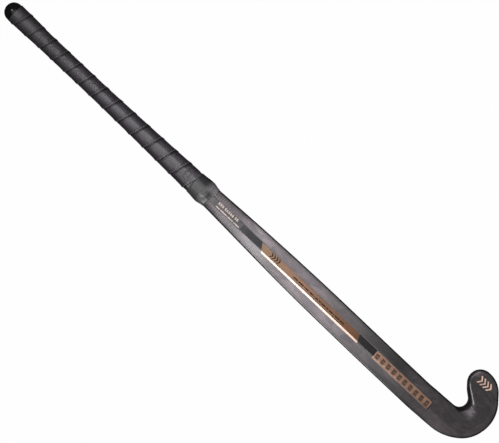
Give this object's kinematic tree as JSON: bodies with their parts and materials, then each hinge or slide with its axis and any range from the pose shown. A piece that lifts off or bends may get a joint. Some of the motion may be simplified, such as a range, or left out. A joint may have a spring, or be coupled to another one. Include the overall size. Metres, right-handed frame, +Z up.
{
  "type": "field hockey stick",
  "caption": "Hooked composite field hockey stick with a low bow, spiral-taped handle, raised back flat with copper foil, and a flat playing face.",
  "frame": {"origin": "on the flat playing face, 50 mm along the stick from the base of the head, in the middle of the shaft's width", "axes": "the stick lies face down: +X along the stick from the handle towards the base of the head, +Y across it towards the toe of the hook, +Z up out of the rounded back"},
  "size_m": [0.9272, 0.1178, 0.0489],
  "materials": {
    "laminate": "satin",
    "foam": "matte",
    "plug": "matte",
    "cap": "gloss",
    "underwrap": "matte",
    "grip": "satin",
    "collar": "satin",
    "copper_foil": "satin",
    "black_band": "gloss",
    "copper_print": "satin",
    "dark_print": "satin"
  },
  "bodies": {
    "root": {"outer_laminate": "laminate", "chamber_core_heel": "foam", "chamber_core_toe": "foam", "head_core": "foam", "handle_plug": "plug", "butt_cap": "cap", "grip_underwrap": "underwrap", "grip_tape": "grip", "finishing_collar": "collar", "foil_panel": "copper_foil", "centre_band_upper": "black_band", "centre_band_lower": "black_band", "shaft_mark": "copper_print", "name_row": "copper_print", "foil_emblem": "dark_print", "foil_tick_row": "dark_print", "head_emblem": "copper_print"}
  },
  "joints": []
}
